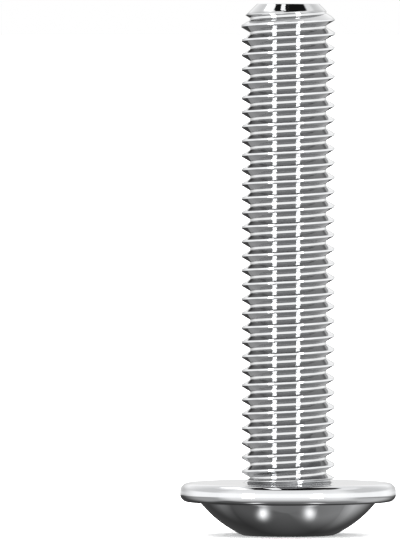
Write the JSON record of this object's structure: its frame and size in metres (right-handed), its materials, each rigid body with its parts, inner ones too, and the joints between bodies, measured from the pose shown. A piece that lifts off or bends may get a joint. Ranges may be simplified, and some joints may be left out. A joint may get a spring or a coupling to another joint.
{
  "type": "flanged button head screw",
  "caption": "Fully threaded machine screw with a low domed head, an integral flange and a six-lobe drive socket, standing on its head.",
  "frame": {"origin": "on the screw's axis, in the plane of the bearing face under the flange", "axes": "+Z along the shank towards the tip, so the head hangs below the origin and the screw stands on the land of its head; +X and +Y are square to the axis"},
  "size_m": [0.0226, 0.0226, 0.0555],
  "materials": {
    "steel": "polished"
  },
  "bodies": {
    "root": {"screw": "steel"}
  },
  "joints": []
}
